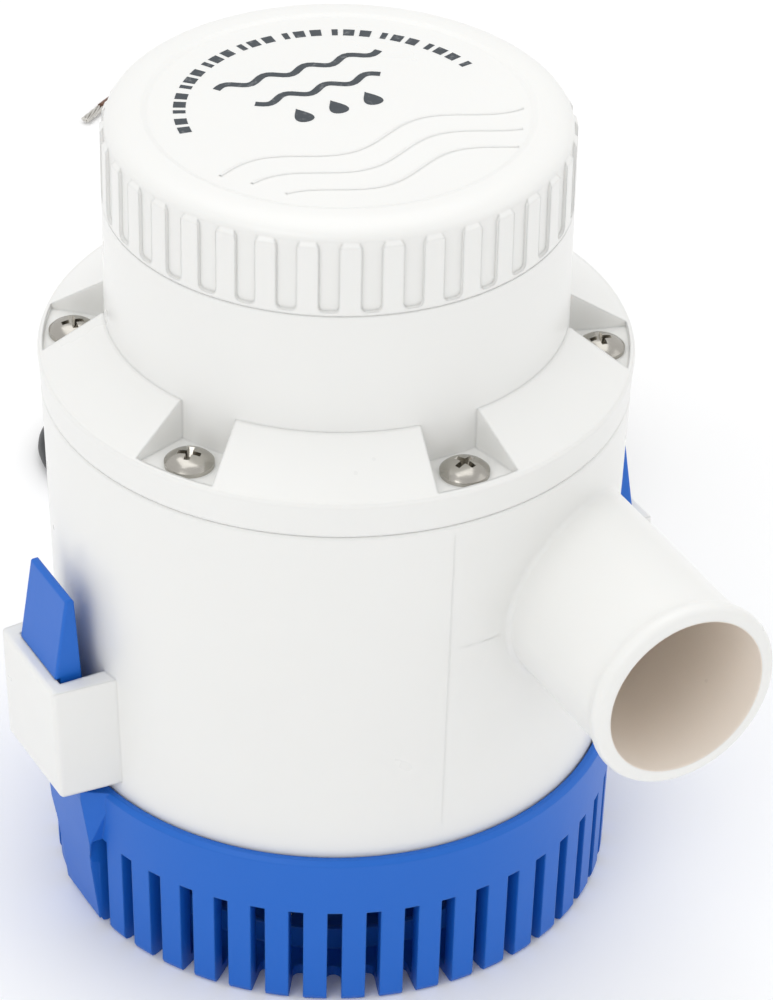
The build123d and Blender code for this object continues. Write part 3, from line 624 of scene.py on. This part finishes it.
# ---------------------------------------------------------------- printed marks on the cap
CAP_DISH_DEPTH = 0.5 * MM
CAP_FACE = CAP_TOP - CAP_DISH_DEPTH
PRINT_THICKNESS = 0.06 * MM
PRINT_RING = (31.6 * MM, 34.2 * MM)
DASH_COUNT = 27
DASH_FIRST, DASH_STEP = 8, 6.1                   # degrees
DASH_SHORT, DASH_LONG = 2.2, 4.1
STROKES = ((18.5, 19), (9.5, 14.5))              # height on the cap and half length, mm
STROKE_WIDTH = 1.7 * MM
DROPS = (-8, 0, 8)                               # mm across the cap
DROP_Y, DROP_SIZE = 1.2 * MM, 2.9 * MM


def printed_ink():
    s = Shader("printed_ink")
    worn = s.spread(s.noise(650.0, 3.0), 0.58, 0.75)
    s.set(Base_Color=s.mix(worn, rgb(0.035, 0.045, 0.055), rgb(0.16, 0.17, 0.18)))
    s.set(Roughness=s.spread(s.noise(300.0), 0.3, 0.7, 0.42, 0.58))
    return s.material


def flat_shape(shape, outline, bottom, height):
    """A thin prism of a closed outline."""
    low = [shape.verts.new((x, y, bottom)) for x, y in outline]
    high = [shape.verts.new((x, y, bottom + height)) for x, y in outline]
    shape.faces.new(low[::-1])
    shape.faces.new(high)
    for k in range(len(low)):
        j = (k + 1) % len(low)
        shape.faces.new((low[k], low[j], high[j], high[k]))


def ring_dash(first, last, inner, outer, steps=6):
    angles = [first + (last - first) * k / steps for k in range(steps + 1)]
    outside = [(outer * cos(a), outer * sin(a)) for a in angles]
    inside = [(inner * cos(a), inner * sin(a)) for a in reversed(angles)]
    return outside + inside


def ribbon(line, width):
    """The outline of a band of even width along a line."""
    left, right = [], []
    for k, (x, y) in enumerate(line):
        x0, y0 = line[max(k - 1, 0)]
        x1, y1 = line[min(k + 1, len(line) - 1)]
        size = hypot(x1 - x0, y1 - y0)
        nx, ny = -(y1 - y0) / size * width / 2, (x1 - x0) / size * width / 2
        left.append((x + nx, y + ny))
        right.append((x - nx, y - ny))
    return left + right[::-1]


def wave_line(x_from, x_to, y, height, length, steps=40):
    xs = [x_from + (x_to - x_from) * k / steps for k in range(steps + 1)]
    return [(x, y + height * sin(2 * pi * x / length)) for x in xs]


def drop_outline(centre_x, centre_y, size, steps=24):
    """A water drop: a round belly that runs up to a point."""
    points = []
    for k in range(steps):
        t = 2 * pi * k / steps
        points.append((centre_x + size * sin(t) * sin(t / 2) ** 1.5, centre_y + size * cos(t)))
    return points


def make_printed_marks():
    """A ring of dashes with two wave strokes and three drops, printed on the cap's face."""

    def build(shape):
        for k in range(DASH_COUNT):
            start = radians(DASH_FIRST + DASH_STEP * k)
            end = start + radians(DASH_LONG if k % 3 else DASH_SHORT)
            flat_shape(shape, ring_dash(start, end, *PRINT_RING), CAP_FACE, PRINT_THICKNESS)
        for y, reach in STROKES:
            stroke = wave_line(-reach * MM, reach * MM, y * MM, 1.1 * MM, 9.5 * MM)
            flat_shape(shape, ribbon(stroke, STROKE_WIDTH), CAP_FACE, PRINT_THICKNESS)
        for x in DROPS:
            drop = drop_outline(x * MM, DROP_Y, DROP_SIZE)
            flat_shape(shape, drop, CAP_FACE, PRINT_THICKNESS)

    marks = mesh_piece("printed_marks", build, printed_ink())
    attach(marks, "pump_body")


make_printed_marks()
